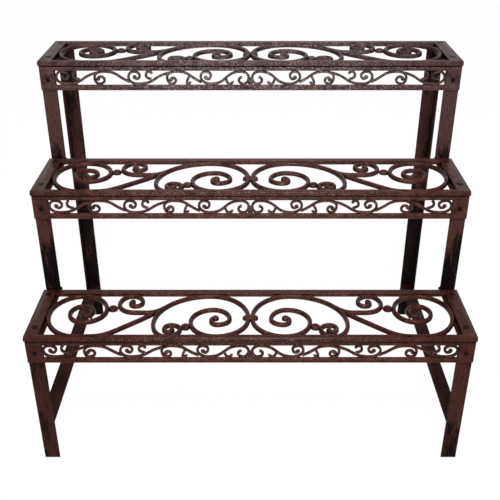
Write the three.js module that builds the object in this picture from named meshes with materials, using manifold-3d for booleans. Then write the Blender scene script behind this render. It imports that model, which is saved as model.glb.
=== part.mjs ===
// Three-tier plant stand: cast scrollwork shelves and aprons on two side frames of welded angle iron.
// Millimetres. X runs along the shelves, Y from front to back and Z up.
// The origin is on the floor, under the middle of the stand.

import * as THREE from "three";
import { mergeVertices } from "three/addons/utils/BufferGeometryUtils.js";
import Module from "manifold-3d";

const wasm = await Module();
wasm.setup();

// Shelves and their spacing. Tier heights are to the shelf's upper face.
const SHELF_LENGTH = 711;
const SHELF_DEPTH = 143.5;
const SHELF_THICKNESS = 7.5;
const POST_CLEARANCE = 6;
const BOTTOM_HEIGHT = 255;
const MIDDLE_HEIGHT = 439;
const TOP_HEIGHT = 610.5;

// Shelf casting: a flat rim round the scrollwork.
const FRONT_RIM = 10.5;
const REAR_RIM = 12.5;
const END_RIM = 21.5;
const SHELF_BAR = { width: 8.5, height: 6 };
const SHELF_EYE = 5;
const BAR_BITE = 0.6;

// Apron casting: two plain bars and two end plates round a running vine.
const APRON_HEIGHT = 41;
const APRON_THICKNESS = 4.5;
const APRON_TOP_BAR = 6.5;
const APRON_BOTTOM_BAR = 9.3;
const APRON_END_PLATE = 23.5;
const APRON_INSET = 1;
const APRON_DROP = 1.2;
const APRON_BAR = { width: 4.7, height: 4.2 };

// Angle iron of the side frames.
const IRON_LEG = 25.4;
const IRON_WALL = 3;
const IRON_ROOT = 3;
const IRON_TOE = 1.5;
const FRAME_INSET = 1.75;
const FRAME_SETBACK = 5.5;
const REAR_OVERHANG = 18.5;
const LOW_RAIL_HEIGHT = 80;
const RAIL_CLIP = 13;

// Fasteners.
const SCREW_RADIUS = 2;
const HEAD_RADIUS = 3.6;
const HEAD_HEIGHT = 1.6;
const SCREW_END = 1.5;
const SCREW_SIDES = 6;
const NUT_FLATS = 7;
const NUT_HEIGHT = 3;
const SHELF_SCREW_INSET = 12;
const SHELF_SCREW_FRONT = 30;
const SHELF_SCREW_REAR = 15.5;
const BOSS_FROM_END = 107.5;
const BOSS_WIDTH = 12;
const BOSS_BACK = 5;
const BOSS_RECESS = 0.5;
const BOSS_SCREW_DEPTH = 6;
const APRON_BOLT_DROP = 22.5;
const FIT = 0.35;

// Worked out from the sizes above. "Front" is the front edge of the bottom shelf.
const HALF_SHELF = SHELF_LENGTH / 2;
const TIER_RUN = SHELF_DEPTH + POST_CLEARANCE - FRAME_SETBACK;
const FRAME_X = HALF_SHELF - FRAME_INSET;
const LEG_TOP = SHELF_THICKNESS + IRON_WALL;
const REAR_Y = 2 * TIER_RUN + SHELF_DEPTH + REAR_OVERHANG;
const APRON_TOP = SHELF_THICKNESS + APRON_DROP;
const APRON_FACE = FRAME_SETBACK - APRON_THICKNESS;
const FRONTMOST = Math.min(0, APRON_FACE - HEAD_HEIGHT);
const MIDDLE_Y = (FRONTMOST + REAR_Y) / 2;
const SHELF_SCREW_X = HALF_SHELF - SHELF_SCREW_INSET;
const BOSS_X = HALF_SHELF - BOSS_FROM_END;
const BOSS_SCREW_Y = FRONT_RIM / 2;
const APRON_BOLT_X = FRAME_X - IRON_LEG / 2;

const TIERS = [
  { name: "bottom", height: BOTTOM_HEIGHT, front: 0 },
  { name: "middle", height: MIDDLE_HEIGHT, front: TIER_RUN },
  { name: "top", height: TOP_HEIGHT, front: 2 * TIER_RUN },
];
const SIDES = [
  { name: "left", sign: -1 },
  { name: "right", sign: 1 },
];

// Half of the shelf pattern, mirrored about the middle. Each point is x from the middle,
// y from the front rim, and the way that the bar runs there, in degrees.
const SHELF_SCROLLS = [
  {
    part: "end volute",
    eye: true,
    points: [
      [275, 0, 0], [330, 65.5, 90], [281, 116.5, 180], [237.5, 72.5, 270], [270, 39.5, 0],
      [296, 65.5, 90], [277, 86, 180], [259, 69.5, 270], [270, 56.5, 0], [277, 65, 80],
    ],
  },
  {
    part: "link to the end volute",
    points: [[275, 0, 180], [205, 24, 140], [140, 83.5, 135]],
  },
  {
    part: "centre arch and front curl",
    eye: true,
    points: [
      [3.5, 53.5, 90], [67, 116.5, 0], [156.5, 37.5, 270], [133, 0, 180], [112, 19.5, 90],
      [127, 31, 0], [137.5, 21, 270], [130, 12, 180], [125, 17, 100],
    ],
  },
  {
    part: "heart volute",
    eye: true,
    points: [
      [3.5, 49.5, 270], [55, 0, 0], [96.4, 41.5, 90], [60.5, 75.2, 180], [33.6, 48.5, 270],
      [53, 32.5, 0], [63.5, 44, 90], [57, 51.5, 180],
    ],
  },
  {
    part: "rear curl",
    eye: true,
    points: [
      [143, 80, 318], [190, 67.3, 0], [218.6, 93, 90], [199.5, 116.5, 180], [180.6, 98, 270],
      [191, 86, 0], [200.2, 94, 90], [197.5, 100, 180],
    ],
  },
];
const SHELF_BEADS = [
  { x: 228, y: 80, radius: 8 },
  { x: 104, y: 27.5, radius: 7.8 },
];
const CLASP_RADIUS = 7.5;
const KNOB_RADIUS = 5;
const KNOB_OFFSET = 8;
const SHELF_CLASP = { y: 52 };

// Half of the apron vine in the same form, with y from its lowest centreline.
const APRON_VINE = [
  {
    part: "middle curl and first wave",
    points: [
      [13.5, 12, 0], [19.5, 6.5, 270], [11, 0, 180], [3, 11.5, 90], [15, 22, 0], [67, 0, 0],
      [83.5, 13, 90], [75, 22, 180], [66.5, 15.5, 270], [71, 8.5, 0], [75, 11, 70],
    ],
  },
  {
    part: "second wave",
    points: [
      [82, 3, 25], [125, 22, 0], [140, 12, 270], [133, 0, 180], [125.5, 5.5, 90], [130, 11, 0],
      [133.5, 7.5, 260],
    ],
  },
  {
    part: "third wave",
    points: [
      [132, 20.5, 350], [190, 0, 0], [205, 11.5, 90], [196, 22, 180], [186, 15.5, 270],
      [190.5, 9, 0], [194.5, 12, 80],
    ],
  },
  {
    part: "fourth wave",
    points: [
      [203, 3.5, 25], [247, 22, 0], [262, 11, 270], [255, 0, 180], [245.5, 6.5, 90], [251, 13, 0],
      [256, 9, 260],
    ],
  },
  {
    part: "fifth wave",
    points: [
      [254, 20.5, 350], [310, 0, 0], [326.5, 11, 90], [317, 22, 180], [306, 15.5, 270], [311, 8.5, 0],
      [315.5, 12, 80],
    ],
  },
  { part: "first leaf", points: [[41, 11.5, 270], [35, 0, 180], [29.5, 5, 90]] },
  { part: "second leaf", points: [[103, 13, 300], [106.5, 0, 180], [101, 4, 90]] },
  { part: "third leaf", points: [[166, 8, 20], [175.5, 15, 90], [170.5, 22, 180], [165.5, 18, 260]] },
  { part: "fourth leaf", points: [[287, 7.5, 20], [297.5, 15, 90], [294, 22, 150]] },
];

const CURVE_STEPS = 0.36;
const STUD_CROWN = 0.65;
const EYE_SIDES = 6;
const CIRCLE_KAPPA = 0.5523;

const castIron = { color: 0x472c28, roughness: 0.55, metalness: 0.5 };
const angleIron = { color: 0x37211f, roughness: 0.6, metalness: 0.5 };
const darkSteel = { color: 0x1c1615, roughness: 0.5, metalness: 0.7 };

const stand = new THREE.Group();

// ---- Shared tools ----

function toSolid(geometry) {
  const bare = geometry.clone();
  bare.deleteAttribute("normal");
  bare.deleteAttribute("uv");
  const merged = mergeVertices(bare, 1e-4);
  return new wasm.Manifold(new wasm.Mesh({
    numProp: 3,
    vertProperties: new Float32Array(merged.attributes.position.array),
    triVerts: new Uint32Array(merged.index.array),
  }));
}

function toGeometry(solid) {
  const { vertProperties, triVerts } = solid.getMesh();
  const geometry = new THREE.BufferGeometry();
  geometry.setAttribute("position", new THREE.BufferAttribute(vertProperties, 3));
  geometry.setIndex(new THREE.BufferAttribute(triVerts, 1));
  return geometry;
}

function joined(solids) {
  return solids.reduce((whole, solid) => whole.add(solid));
}

function box(x0, x1, y0, y1, z0, z1) {
  const geometry = new THREE.BoxGeometry(x1 - x0, y1 - y0, z1 - z0);
  return geometry.translate((x0 + x1) / 2, (y0 + y1) / 2, (z0 + z1) / 2);
}

function upright(shape, height) {
  return new THREE.ExtrudeGeometry(shape, { depth: height, bevelEnabled: false });
}

// A low round boss that narrows to its top, standing on z = 0.
function stud(x, y, radius, height, sides = 8) {
  const geometry = new THREE.CylinderGeometry(STUD_CROWN * radius, radius, height, sides);
  return geometry.rotateX(Math.PI / 2).translate(x, y, height / 2);
}

// A round bar along y.
function shaft(radius, y0, y1) {
  return new THREE.CylinderGeometry(radius, radius, y1 - y0, SCREW_SIDES).translate(0, (y0 + y1) / 2, 0);
}

// Clearance for a screw along z, through everything within the reach on both sides of z = 0.
function screwHole(x, y, reach) {
  const drill = shaft(SCREW_RADIUS + FIT, -reach - 1, reach + 1);
  return toSolid(drill.rotateX(Math.PI / 2).translate(x, y, 0));
}

// A screw hole whose mouth takes a sunk head, flush with the face at the given height.
function sunkHole(x, y, face) {
  const mouth = HEAD_RADIUS + FIT + 1;
  const cone = new THREE.CylinderGeometry(mouth, SCREW_RADIUS + FIT, HEAD_HEIGHT + 1, SCREW_SIDES);
  cone.rotateX(Math.PI / 2).translate(x, y, face + (1 - HEAD_HEIGHT) / 2);
  return screwHole(x, y, face).add(toSolid(cone));
}

function rectangle(x0, x1, y0, y1) {
  const shape = new THREE.Shape();
  shape.moveTo(x0, y0);
  shape.lineTo(x1, y0);
  shape.lineTo(x1, y1);
  shape.lineTo(x0, y1);
  return shape;
}

function addPiece(name, geometry, finish, x = 0, y = 0, z = 0) {
  const mesh = new THREE.Mesh(geometry, new THREE.MeshStandardMaterial(finish));
  mesh.name = name;
  mesh.position.set(x, y - MIDDLE_Y, z);
  stand.add(mesh);
  return mesh;
}

// ---- Scrollwork ----

// The centreline of a bar, through points that each say which way the bar runs.
class BarLine extends THREE.Curve {
  constructor(points, place) {
    super();
    this.stops = [];
    for (let i = 0; i + 1 < points.length; i += 1) {
      const span = BarLine.span(points[i], points[i + 1], place);
      const steps = Math.max(2, Math.round(CURVE_STEPS * Math.sqrt(span.getLength())));
      this.stops.push(...span.getPoints(steps).slice(i === 0 ? 0 : 1));
    }
  }

  // A quarter ellipse where the bar turns from level to upright, and an S where it does not turn.
  static span(from, to, place) {
    const handle = ([, , degrees]) => {
      const angle = THREE.MathUtils.degToRad(degrees);
      const way = new THREE.Vector2(Math.cos(angle), Math.sin(angle));
      const reach = Math.abs(way.x * (to[0] - from[0])) + Math.abs(way.y * (to[1] - from[1]));
      return way.multiplyScalar(CIRCLE_KAPPA * reach);
    };
    const out = handle(from);
    const back = handle(to);
    return new THREE.CubicBezierCurve(
      place(from[0], from[1]),
      place(from[0] + out.x, from[1] + out.y),
      place(to[0] - back.x, to[1] - back.y),
      place(to[0], to[1]),
    );
  }

  getPoint(t) {
    const reach = t * (this.stops.length - 1);
    const index = Math.min(Math.floor(reach), this.stops.length - 2);
    const spot = this.stops[index].clone().lerp(this.stops[index + 1], reach - index);
    return new THREE.Vector3(spot.x, spot.y, 0);
  }

  getUtoTmapping(u) {
    return u;
  }
}

// A bar with a flat back on z = 0 and a ridge along its front, swept along its centreline.
function sweptBar(line, bar) {
  const section = new THREE.Shape();
  section.moveTo(0, -bar.width / 2);
  section.lineTo(0, bar.width / 2);
  section.lineTo(-bar.height, 0);
  return new THREE.ExtrudeGeometry(section, {
    steps: line.stops.length - 1,
    extrudePath: line,
    bevelEnabled: false,
  });
}

// Both halves of a pattern, as one solid for each bar and one for each eye that ends a bar.
// The field is the place that the pattern's centrelines fill, so it stretches with its frame.
function scrollwork(scrolls, bar, field, eyeRadius) {
  const all = scrolls.flatMap((scroll) => scroll.points);
  const reachX = Math.max(...all.map((point) => point[0]));
  const reachY = Math.max(...all.map((point) => point[1]));
  const solids = [];
  for (const sign of [-1, 1]) {
    const place = (x, y) => new THREE.Vector2(
      (sign * x * field.half) / reachX,
      field.low + (y * (field.high - field.low)) / reachY,
    );
    for (const scroll of scrolls) {
      const line = new BarLine(scroll.points, place);
      solids.push(toSolid(sweptBar(line, bar)));
      if (scroll.eye) {
        const end = line.stops.at(-1);
        solids.push(toSolid(stud(end.x, end.y, eyeRadius, bar.height, EYE_SIDES)));
      }
    }
  }
  return { solids, scaleX: field.half / reachX, scaleY: (field.high - field.low) / reachY };
}

// ---- Castings ----

function shelfScrewSpots() {
  const rows = [SHELF_SCREW_FRONT, SHELF_DEPTH - SHELF_SCREW_REAR];
  return SIDES.flatMap((side) => rows.map((y) => [side.sign * SHELF_SCREW_X, y]));
}

function bossScrewSpots() {
  return SIDES.map((side) => [side.sign * BOSS_X, BOSS_SCREW_Y]);
}

function makeShelf(tier) {
  const rimX = HALF_SHELF - END_RIM;
  const rimBack = SHELF_DEPTH - REAR_RIM;
  const outline = rectangle(-HALF_SHELF, HALF_SHELF, 0, SHELF_DEPTH);
  outline.holes.push(rectangle(-rimX, rimX, FRONT_RIM, rimBack));
  const reach = SHELF_BAR.width / 2 - BAR_BITE;
  const field = { half: rimX - reach, low: FRONT_RIM, high: rimBack - reach };
  const pattern = scrollwork(SHELF_SCROLLS, SHELF_BAR, field, SHELF_EYE);

  const claspY = field.low + SHELF_CLASP.y * pattern.scaleY;
  const studs = [stud(0, claspY, CLASP_RADIUS, SHELF_THICKNESS)];
  for (const { sign } of SIDES) {
    studs.push(stud(sign * KNOB_OFFSET, claspY, KNOB_RADIUS, SHELF_THICKNESS));
    for (const bead of SHELF_BEADS) {
      const round = stud(0, 0, bead.radius, SHELF_BAR.height).scale(pattern.scaleX, pattern.scaleY, 1);
      const y = field.low + bead.y * pattern.scaleY;
      studs.push(round.translate(sign * bead.x * pattern.scaleX, y, 0));
    }
  }

  const rim = toSolid(upright(outline, SHELF_THICKNESS));
  const holes = [...shelfScrewSpots(), ...bossScrewSpots()].map(([x, y]) => sunkHole(x, y, SHELF_THICKNESS));
  const casting = joined([rim, ...pattern.solids, ...studs.map(toSolid)]).subtract(joined(holes));
  const underside = tier.height - SHELF_THICKNESS;
  addPiece(`${tier.name}_shelf`, toGeometry(casting), castIron, 0, tier.front, underside);
}

// Drawn flat, with its back on z = 0 and its lower edge on y = 0, and then stood up.
function makeApron(tier) {
  const half = HALF_SHELF - APRON_INSET;
  const plateX = half - APRON_END_PLATE;
  const openHigh = APRON_HEIGHT - APRON_TOP_BAR;
  const outline = rectangle(-half, half, 0, APRON_HEIGHT);
  outline.holes.push(rectangle(-plateX, plateX, APRON_BOTTOM_BAR, openHigh));
  const reach = APRON_BAR.width / 2 - BAR_BITE;
  const field = { half: plateX - reach, low: APRON_BOTTOM_BAR + reach, high: openHigh - reach };
  const vine = scrollwork(APRON_VINE, APRON_BAR, field);

  const bosses = [];
  const holes = [];
  const bossTop = APRON_HEIGHT + APRON_DROP;
  const boreFloor = bossTop - BOSS_SCREW_DEPTH - FIT;
  for (const { sign } of SIDES) {
    const x = sign * BOSS_X;
    const front = APRON_THICKNESS - BOSS_RECESS;
    bosses.push(toSolid(box(x - BOSS_WIDTH / 2, x + BOSS_WIDTH / 2, openHigh, bossTop, -BOSS_BACK, front)));
    const bore = shaft(SCREW_RADIUS + FIT, boreFloor, bossTop + 1);
    holes.push(toSolid(bore.translate(x, 0, FRAME_SETBACK - BOSS_SCREW_Y)));
    holes.push(screwHole(sign * APRON_BOLT_X, APRON_HEIGHT - APRON_BOLT_DROP, APRON_THICKNESS));
  }

  const plate = toSolid(upright(outline, APRON_THICKNESS));
  const casting = joined([plate, ...vine.solids, ...bosses]).subtract(joined(holes));
  const lowerEdge = tier.height - APRON_TOP - APRON_HEIGHT;
  const backY = tier.front + FRAME_SETBACK;
  const apron = addPiece(`${tier.name}_apron`, toGeometry(casting), castIron, 0, backY, lowerEdge);
  apron.rotation.x = Math.PI / 2;
}

// ---- Side frames ----

// Rolled angle with its outer corner on the origin, one leg along x and one along y,
// run along z. The ways are 1 or -1.
function angle(wayX, wayY, length) {
  const at = (x, y) => [wayX * x, wayY * y];
  const shape = new THREE.Shape();
  shape.moveTo(...at(0, 0));
  shape.lineTo(...at(IRON_LEG, 0));
  shape.lineTo(...at(IRON_LEG, IRON_WALL - IRON_TOE));
  shape.quadraticCurveTo(...at(IRON_LEG, IRON_WALL), ...at(IRON_LEG - IRON_TOE, IRON_WALL));
  shape.lineTo(...at(IRON_WALL + IRON_ROOT, IRON_WALL));
  shape.quadraticCurveTo(...at(IRON_WALL, IRON_WALL), ...at(IRON_WALL, IRON_WALL + IRON_ROOT));
  shape.lineTo(...at(IRON_WALL, IRON_LEG - IRON_TOE));
  shape.quadraticCurveTo(...at(IRON_WALL, IRON_LEG), ...at(IRON_WALL - IRON_TOE, IRON_LEG));
  shape.lineTo(...at(0, IRON_LEG));
  return new THREE.ExtrudeGeometry(shape, { depth: length, curveSegments: 2, bevelEnabled: false });
}

function addUpright(name, side, y, wayY, z0, z1) {
  const bar = angle(-side.sign, wayY, z1 - z0);
  return addPiece(`${side.name}_${name}`, bar, angleIron, side.sign * FRAME_X, y, z0);
}

// The upright under the front of a tier, drilled for the bolt of that tier's apron.
function addFrontUpright(name, side, tier, z0) {
  const post = addUpright(name, side, tier.front + FRAME_SETBACK, 1, z0, tier.height - LEG_TOP);
  const boltZ = tier.height - APRON_TOP - APRON_BOLT_DROP - z0;
  const drill = shaft(SCREW_RADIUS + FIT, -1, IRON_WALL + 1);
  drill.translate(side.sign * (APRON_BOLT_X - FRAME_X), 0, boltZ);
  post.geometry = toGeometry(toSolid(post.geometry).subtract(toSolid(drill)));
}

// An angle run from front to back, with one leg level at the top and one hanging at its outer side.
function railSolid(side, length) {
  return toSolid(angle(-side.sign, -1, length).rotateX(Math.PI / 2).translate(0, length, 0));
}

function makeTierRail(side, tier, next) {
  const start = tier.front + FRAME_SETBACK;
  const end = next ? next.front + FRAME_SETBACK + IRON_LEG : REAR_Y;
  const length = end - start;
  const inner = -side.sign * IRON_LEG;
  const over = 1;
  const below = (y0, y1) => box(-2 * IRON_LEG, 2 * IRON_LEG, y0, y1, -2 * IRON_LEG, -IRON_WALL);

  const cuts = [toSolid(below(-over, IRON_LEG))];
  if (next) {
    const clip = new THREE.Shape();
    clip.moveTo(inner - side.sign * over, length - RAIL_CLIP - over);
    clip.lineTo(inner + side.sign * (RAIL_CLIP + over), length + over);
    clip.lineTo(inner - side.sign * over, length + over);
    cuts.push(toSolid(upright(clip, 2 * IRON_LEG).translate(0, 0, -IRON_LEG)));
  } else {
    cuts.push(toSolid(below(length - IRON_LEG, length + over)));
  }
  for (const [x, y] of shelfScrewSpots().filter((spot) => Math.sign(spot[0]) === side.sign)) {
    cuts.push(screwHole(x - side.sign * FRAME_X, y - FRAME_SETBACK, IRON_LEG));
  }
  const rail = cuts.reduce((solid, cut) => solid.subtract(cut), railSolid(side, length));
  const top = tier.height - SHELF_THICKNESS;
  addPiece(`${side.name}_${tier.name}_rail`, toGeometry(rail), angleIron, side.sign * FRAME_X, start, top);
}

// The rail near the floor, coped so that its level leg reaches into the angles of both legs.
function makeLowRail(side) {
  const start = FRAME_SETBACK + IRON_WALL;
  const length = REAR_Y - IRON_WALL - start;
  const cope = IRON_LEG - IRON_WALL;
  const copeX = side.sign * (IRON_WALL + IRON_ROOT + FIT);
  const far = side.sign * IRON_LEG;
  const x0 = Math.min(far, -copeX);
  const x1 = Math.max(far, -copeX);
  const ends = [[-1, cope], [length - cope, length + 1]];
  const cuts = ends.map(([y0, y1]) => toSolid(box(x0, x1, y0, y1, -2 * IRON_LEG, IRON_LEG)));
  const below = ends.map(([y0, y1]) => toSolid(box(-IRON_LEG, IRON_LEG, y0, y1, -2 * IRON_LEG, -IRON_WALL)));
  const rail = railSolid(side, length).subtract(joined([...cuts, ...below]));
  addPiece(`${side.name}_low_rail`, toGeometry(rail), angleIron, side.sign * FRAME_X, start, LOW_RAIL_HEIGHT);
}

function makeSideFrame(side) {
  const [bottom, middle, top] = TIERS;
  addFrontUpright("front_leg", side, bottom, 0);
  addFrontUpright("middle_post", side, middle, bottom.height - SHELF_THICKNESS);
  addFrontUpright("upper_post", side, top, middle.height - SHELF_THICKNESS);
  addUpright("rear_leg", side, REAR_Y, -1, 0, top.height - LEG_TOP);
  TIERS.forEach((tier, index) => makeTierRail(side, tier, TIERS[index + 1]));
  makeLowRail(side);
}

// ---- Fasteners ----

// Turned about the y axis, with the head up.
function turned(profile) {
  const points = profile.map(([x, y]) => new THREE.Vector2(x, y));
  return toGeometry(toSolid(new THREE.LatheGeometry(points, SCREW_SIDES)));
}

// A screw whose sunk head ends on y = 0.
function sunkScrew(length) {
  return turned([
    [0, -length], [SCREW_RADIUS, -length], [SCREW_RADIUS, -HEAD_HEIGHT], [HEAD_RADIUS, 0], [0, 0],
  ]);
}

// A bolt with a low head, whose underside is on y = 0.
function bolt(length) {
  return turned([
    [0, -length], [SCREW_RADIUS, -length], [SCREW_RADIUS, 0], [HEAD_RADIUS, 0], [0, HEAD_HEIGHT],
  ]);
}

// A hexagon nut standing on z = 0, its bore turned as a screw's flats are.
function nut() {
  const ring = (radius, turn) => Array.from({ length: 6 }, (_, i) => {
    const around = (i * Math.PI) / 3 + turn;
    return new THREE.Vector2(radius * Math.cos(around), radius * Math.sin(around));
  });
  const shape = new THREE.Shape(ring(NUT_FLATS / 2 / Math.cos(Math.PI / 6), 0));
  shape.holes.push(new THREE.Path(ring(SCREW_RADIUS + FIT, Math.PI / 6)));
  return upright(shape, NUT_HEIGHT);
}

function addFastener(name, geometry, turn, x, y, z) {
  addPiece(name, geometry, darkSteel, x, y, z).rotation.x = turn;
}

function makeFasteners(tier) {
  const shelfScrew = sunkScrew(SHELF_THICKNESS + IRON_WALL + SCREW_END);
  const bossScrew = sunkScrew(SHELF_THICKNESS + BOSS_SCREW_DEPTH);
  const apronBolt = bolt(APRON_THICKNESS + IRON_WALL + NUT_HEIGHT + SCREW_END);
  const down = Math.PI / 2;
  const forward = Math.PI;
  for (const side of SIDES) {
    const name = `${tier.name}_${side.name}`;
    const shelfX = side.sign * SHELF_SCREW_X;
    for (const [end, y] of [["front", SHELF_SCREW_FRONT], ["rear", SHELF_DEPTH - SHELF_SCREW_REAR]]) {
      addFastener(`${name}_${end}_shelf_screw`, shelfScrew, down, shelfX, tier.front + y, tier.height);
    }
    const rimY = tier.front + BOSS_SCREW_Y;
    addFastener(`${name}_rim_screw`, bossScrew, down, side.sign * BOSS_X, rimY, tier.height);

    const boltX = side.sign * APRON_BOLT_X;
    const boltZ = tier.height - APRON_TOP - APRON_BOLT_DROP;
    const nutFace = tier.front + FRAME_SETBACK + IRON_WALL + NUT_HEIGHT;
    addFastener(`${name}_apron_bolt`, apronBolt, forward, boltX, tier.front + APRON_FACE, boltZ);
    addFastener(`${name}_apron_nut`, nut(), down, boltX, nutFace, boltZ);
  }
}

SIDES.forEach(makeSideFrame);
TIERS.forEach(makeShelf);
TIERS.forEach(makeApron);
TIERS.forEach(makeFasteners);

export default stand;
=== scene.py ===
"""Looks for the tiered plant stand: cast scrollwork shelves and aprons on painted angle-iron frames."""

import math
import random
from functools import partial

import bmesh
import bpy
from mathutils import Matrix, Vector


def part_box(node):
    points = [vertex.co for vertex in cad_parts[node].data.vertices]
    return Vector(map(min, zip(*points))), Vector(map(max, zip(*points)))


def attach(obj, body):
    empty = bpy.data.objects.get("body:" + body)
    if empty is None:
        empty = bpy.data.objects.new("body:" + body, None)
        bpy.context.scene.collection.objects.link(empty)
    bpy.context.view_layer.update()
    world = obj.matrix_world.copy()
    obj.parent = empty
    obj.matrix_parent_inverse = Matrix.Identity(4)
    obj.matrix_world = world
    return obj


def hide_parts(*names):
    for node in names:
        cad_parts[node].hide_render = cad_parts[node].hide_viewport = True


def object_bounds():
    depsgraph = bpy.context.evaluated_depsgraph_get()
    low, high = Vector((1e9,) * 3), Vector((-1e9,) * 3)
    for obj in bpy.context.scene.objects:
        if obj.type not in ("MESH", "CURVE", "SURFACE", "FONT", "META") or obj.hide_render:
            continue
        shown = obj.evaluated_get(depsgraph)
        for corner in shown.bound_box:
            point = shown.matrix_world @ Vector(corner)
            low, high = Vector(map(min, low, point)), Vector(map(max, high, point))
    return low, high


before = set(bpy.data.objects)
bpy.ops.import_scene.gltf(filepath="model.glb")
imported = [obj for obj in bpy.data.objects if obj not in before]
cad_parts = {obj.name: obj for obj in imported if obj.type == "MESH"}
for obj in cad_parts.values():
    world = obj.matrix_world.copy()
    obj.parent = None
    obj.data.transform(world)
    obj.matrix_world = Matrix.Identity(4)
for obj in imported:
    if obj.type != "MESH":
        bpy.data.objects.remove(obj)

MM = 0.001
BODY = "root"
TIERS = ("bottom", "middle", "top")
SIDES = (("left", -1), ("right", 1))
cad_low, cad_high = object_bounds()

# ---------------------------------------------------------------- sizes, in millimetres

SHELF_THICKNESS = 7.5
SHELF_BAR_WIDTH = 7.2
SHELF_BAR_HEIGHT = 6.8
FRONT_RIM = 10.5
REAR_RIM = 12.5
END_RIM = 21.5
RIM_ROUND = 1.3
RIM_NOSE = 2.8
RIM_UNDER = 0.9
BAR_BITE = 0.6
EYE_RISE = 0.15
BEAD_RISE = 0.2
CLASP_RADIUS = 7.5
KNOB_RADIUS = 5.0
KNOB_OFFSET = 8.0
KNOB_DROP = 0.3

APRON_HEIGHT = 41.0
APRON_THICKNESS = 4.5
APRON_BAR_WIDTH = 4.3
APRON_BAR_HEIGHT = 4.2
APRON_TOP_BAR = 7.6
APRON_TOP_ROUND = 2.2
APRON_BOTTOM_BAR = 9.3
APRON_END_PLATE = 25.5
APRON_EDGE_ROUND = 1.0
APRON_INSET = 1.0
APRON_BOLT_DROP = 22.5
MIDDLE_STEM_WIDTH = 8.4
MIDDLE_STEM_DROP = 0.4

# The raised mouldings of the bottom bar and of each end plate, and how far their ground lies back.
MOULDING_ROUND = 1.5
BOTTOM_GROUND_DROP = 0.9
BOTTOM_MOULDING_LOW = 3.2
BOTTOM_MOULDING_GAP = 0.8
PLATE_GROUND_DROP = 0.7
PLATE_MOULDING = 4.0
PLATE_MOULDING_GAP = 0.4

# The lugs behind the apron, which take the screws through the front rim.
BOSS_FROM_END = 107.5
LUG_WIDTH = 12.0
LUG_BACK = 5.0
LUG_DROP = 0.5
LUG_ROUND = 0.8
LUG_RISE = 0.3
LUG_SCREW_DEPTH = 6.0

SCREW_RADIUS = 2.0
HEAD_RADIUS = 3.6
HEAD_HEIGHT = 1.6
FIT = 0.35
TIP_CHAMFER = 0.5
TIP_LENGTH = 0.6
SLOT_WIDTH = 0.84
SLOT_LENGTH = 3.8
SLOT_DEPTH = 1.0
SOCKET_RADIUS = 1.35
SOCKET_FLOOR = 0.5
NUT_CHAMFER = 0.45
NUT_BORE_PLAY = 0.1

# Sunk screws of the shelves: their places, and the flat recess round each head.
SHELF_SCREW_INSET = 12.0
SHELF_SCREW_FRONT = 30.0
SHELF_SCREW_REAR = 15.5
SHELF_SCREW_ROOM = 1.7
RIM_SCREW_ROOM = 0.7
RECESS_DEPTH = 0.9
RECESS_SLOPE = 0.2
CUT_CLEAR = 1.0

IRON_LEG = 25.4
IRON_WALL = 3.0
IRON_EDGE = 0.5
FRAME_INSET = 1.75

# Welds: where each bead begins and ends short of an edge, and how far it lies in or over a face.
WELD_RADIUS = 1.3
WELD_STEP = 0.6
WELD_END_GAP = 2.0
WELD_FRONT_GAP = 3.0
WELD_OVER = 0.2
WELD_AHEAD = 0.1
WELD_IN = 0.3
WELD_CORNER_GAP = 1.0
RAIL_WELD_START = 8.0
RAIL_WELD_END = 1.0
SCAR_RADIUS = 0.7
SCAR_DROP = 4.0
SCAR_TILT = 1.5

# The ripples of a weld bead: their share of its radius, the turn from one ring to the next, a chance
# share, and how fast the bead swells from the share that it has at its ends.
RIPPLE_SHARE = 0.13
RIPPLE_TURN = 1.9
RIPPLE_CHANCE = 0.05
SWELL_RATE = 3.2
SWELL_LEAST = 0.25

# ---------------------------------------------------------------- fineness of the meshes

CURVE_KAPPA = 0.5523
CURVE_STEP = 2.2
LEAST_CURVE_STEPS = 6
RIM_ROUND_STEPS = 5
BLOCK_ROUND_STEPS = 3
HEXAGON = 6
BORE_SIDES = 20
EYE_SIDES = 24
FASTENER_SIDES = 28
DRUM_SIDES = 36
WELD_SIDES = 10
LEAST_WELD_STEPS = 8
TOUCH = 0.01
MERGE = 0.004
SHARP_ANGLE = math.radians(38)

# ---------------------------------------------------------------- patterns, in millimetres

# Half of the shelf pattern. Each bar has the radius of its eye, or 0, and points of x from the middle,
# y from the front rim, and the bar's heading in degrees.
SHELF_SCROLLS = [
    ("end volute", 4.8, [
        (275, 0, 0), (330, 65.5, 90), (281, 116.5, 180), (237.5, 72.5, 270), (270, 39.5, 0),
        (296, 65.5, 90), (277, 86, 180), (259, 69.5, 270), (270, 56.5, 0), (277, 65, 80)]),
    ("link to the end volute", 0, [(275, 0, 180), (205, 24, 140), (140, 83.5, 135)]),
    ("centre arch and front curl", 4.8, [
        (3.5, 53.5, 90), (67, 116.5, 0), (156.5, 37.5, 270), (133, 0, 180), (112, 19.5, 90),
        (127, 31, 0), (137.5, 21, 270), (130, 12, 180), (125, 17, 100)]),
    ("heart volute", 6.0, [
        (3.5, 49.5, 270), (55, 0, 0), (96.4, 41.5, 90), (60.5, 75.2, 180), (33.6, 48.5, 270),
        (53, 32.5, 0), (63.5, 44, 90), (57, 51.5, 180)]),
    ("rear curl", 4.8, [
        (143, 80, 318), (190, 67.3, 0), (218.6, 93, 90), (199.5, 116.5, 180), (180.6, 98, 270),
        (191, 86, 0), (200.2, 94, 90), (197.5, 100, 180)]),
]
# Beads of the half pattern, as x, y and radius, and the level of the clasp in its middle.
SHELF_BEADS = [(228, 80, 8.0), (104, 27.5, 7.8)]
CLASP_LEVEL = 52

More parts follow.
